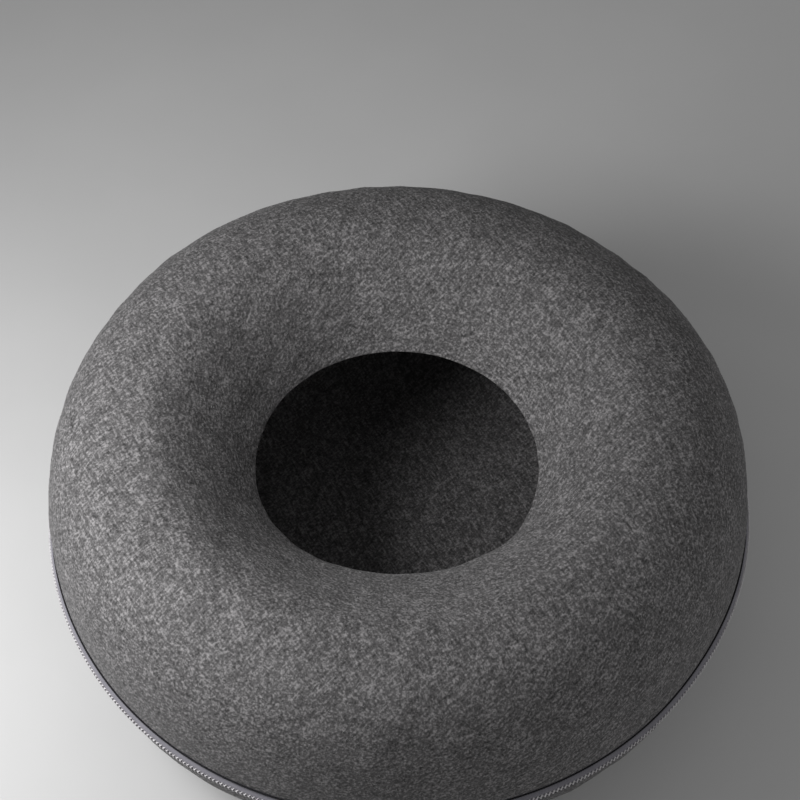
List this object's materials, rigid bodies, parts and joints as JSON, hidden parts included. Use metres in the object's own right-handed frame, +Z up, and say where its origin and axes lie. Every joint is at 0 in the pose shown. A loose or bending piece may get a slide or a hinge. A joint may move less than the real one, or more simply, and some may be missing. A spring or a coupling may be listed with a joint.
{
  "type": "donut tunnel bed",
  "caption": "Round hollow felt pet bed: a fat ring with a tunnel inside, a hole in the top to climb in by, and a zip round the waist that joins its two moulded halves.",
  "frame": {"origin": "on the floor, under the middle of the ring", "axes": "+Z up through the hole, -Y the side towards the viewer of the picture, +X to that viewer's right"},
  "size_m": [0.6067, 0.6134, 0.2427],
  "materials": {
    "felt": "matt needled felt, light and dark grey fibres mixed",
    "zip_tape": "matt woven tape",
    "zip_coil": "satin nylon coil",
    "zip_metal": "satin grey"
  },
  "bodies": {
    "root": {"upper_shell": "felt", "lower_shell": "felt", "zip_tape_upper": "zip_tape", "zip_tape_lower": "zip_tape", "zip_chain": "zip_coil", "zip_slider": "zip_metal", "zip_pull": "zip_metal"}
  },
  "joints": []
}
